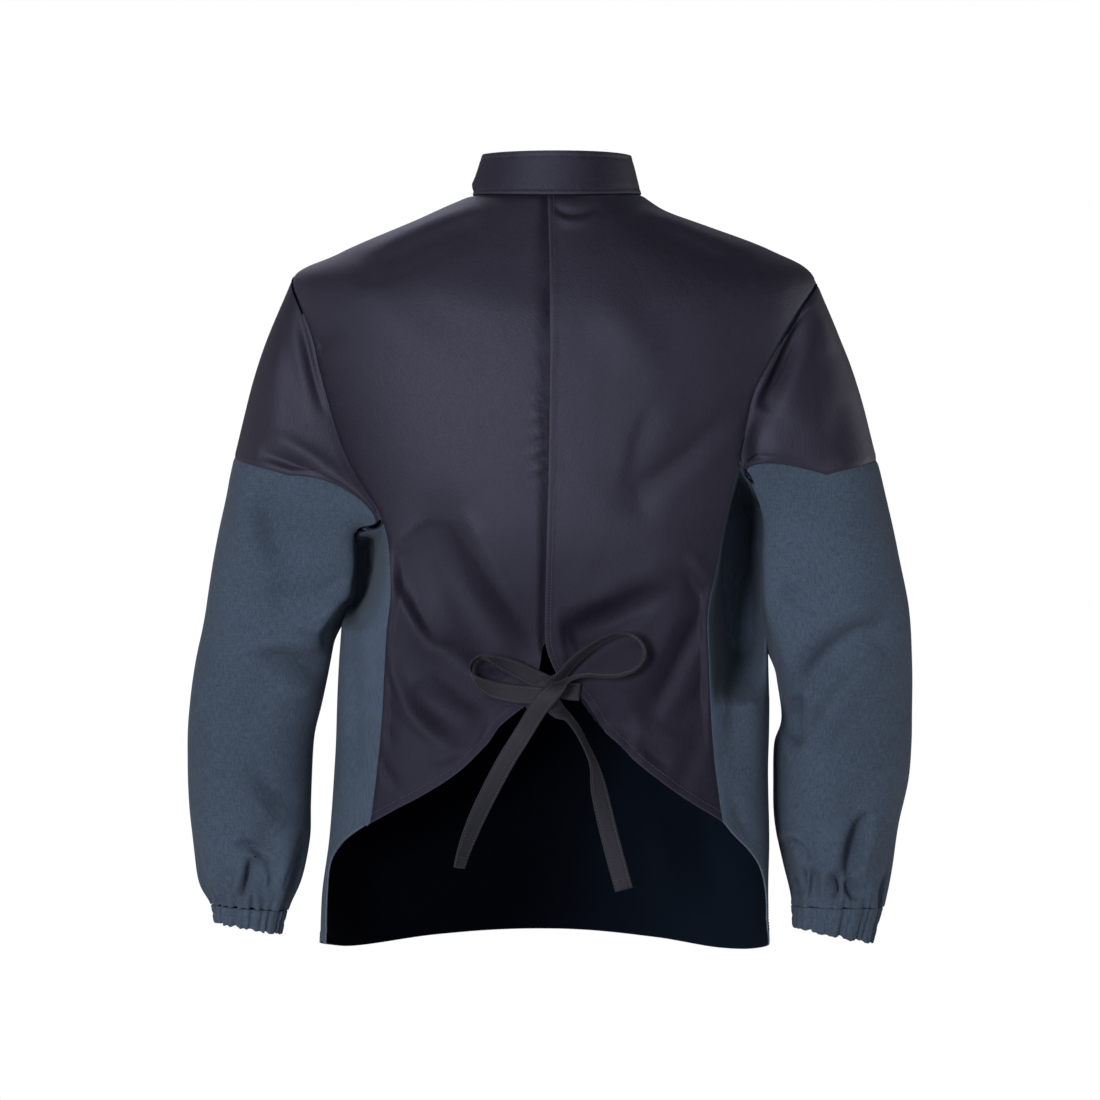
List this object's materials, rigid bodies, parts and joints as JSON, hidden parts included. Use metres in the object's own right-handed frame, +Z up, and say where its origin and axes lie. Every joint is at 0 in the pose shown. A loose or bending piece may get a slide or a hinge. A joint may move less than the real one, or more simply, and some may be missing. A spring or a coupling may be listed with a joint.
{
  "type": "welding coat",
  "caption": "Long-sleeved flame-resistant welding coat in worn form, with a stand collar, a lapped back that closes with a tied bow, a cut-away back hem and gathered cuffs.",
  "frame": {"origin": "middle of the neck at the height of the shoulder line, where the wearer's shoulders carry the coat", "axes": "+X to the wearer's right, +Y to the wearer's front, +Z up; the lapped and tied back faces -Y"},
  "size_m": [0.7282, 0.2734, 0.7991],
  "materials": {
    "navy_satin": "dark navy cotton satin with a soft sheen",
    "blue_grey_cloth": "matt heathered blue-grey cloth",
    "strap_twill": "matt dark navy twill"
  },
  "bodies": {
    "root": {"back_panel_left": "navy_satin", "back_panel_right": "navy_satin", "front_panel": "blue_grey_cloth", "sleeve_upper_left": "navy_satin", "sleeve_upper_right": "navy_satin", "sleeve_lower_left": "blue_grey_cloth", "sleeve_lower_right": "blue_grey_cloth", "cuff_left": "blue_grey_cloth", "cuff_right": "blue_grey_cloth", "collar": "navy_satin", "tie_left": "strap_twill", "tie_right": "strap_twill"}
  },
  "joints": []
}
